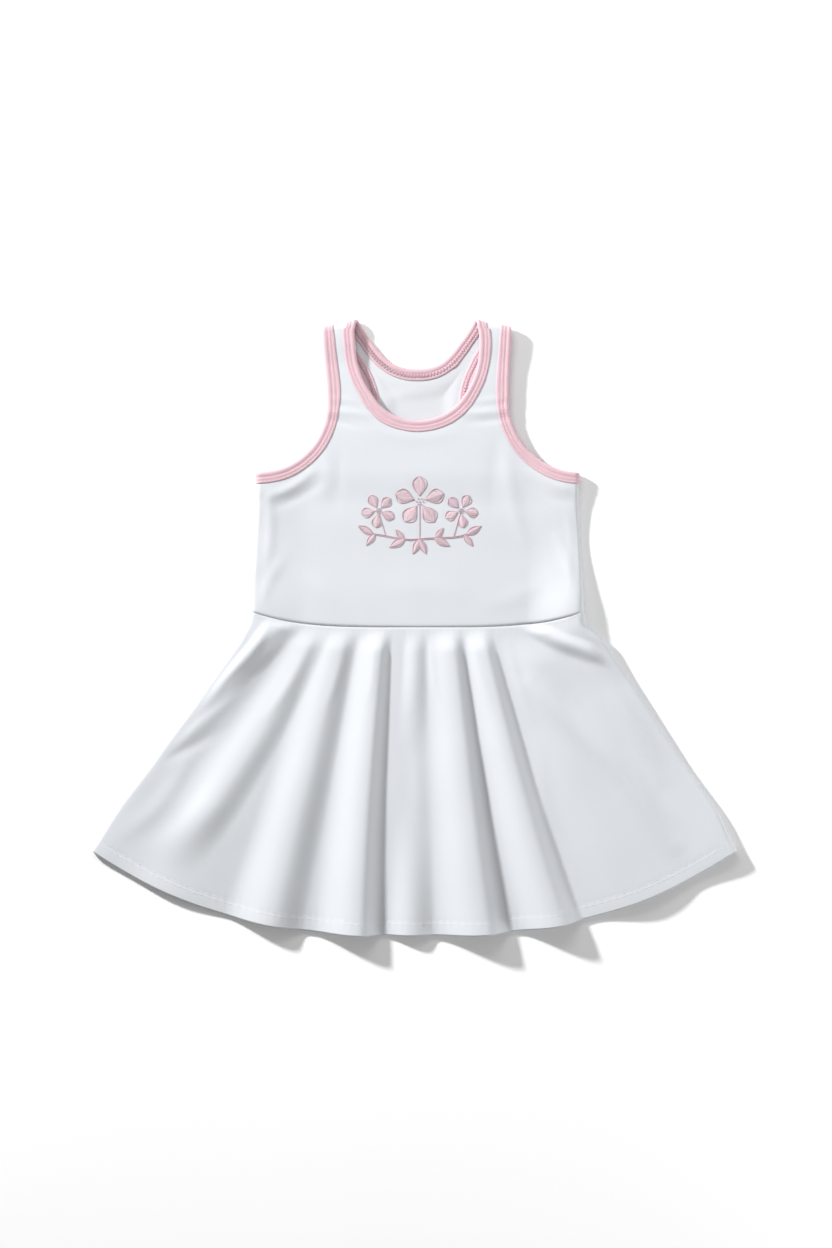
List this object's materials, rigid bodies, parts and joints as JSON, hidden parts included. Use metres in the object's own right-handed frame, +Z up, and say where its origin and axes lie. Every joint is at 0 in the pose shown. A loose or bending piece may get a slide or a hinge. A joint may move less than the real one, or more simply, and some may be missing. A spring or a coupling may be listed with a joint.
{
  "type": "tennis dress",
  "caption": "Child's sleeveless tennis dress laid flat, front up: racer back, bound neck and armholes, and a flared skirt in soft folds.",
  "frame": {"origin": "on the table under the middle of the garment's bounding box", "axes": "+Z up off the table, +Y from the hem towards the straps, +X to the right for someone looking down on the front"},
  "size_m": [0.5628, 0.538, 0.0201],
  "materials": {
    "white_jersey": "smooth matt white jersey",
    "pink_binding": "matt pink knit strip"
  },
  "bodies": {
    "root": {"bodice_front": "white_jersey", "bodice_back": "white_jersey", "skirt_front": "white_jersey", "skirt_back": "white_jersey", "neck_binding": "pink_binding", "armhole_binding_left": "pink_binding", "armhole_binding_right": "pink_binding"}
  },
  "joints": []
}
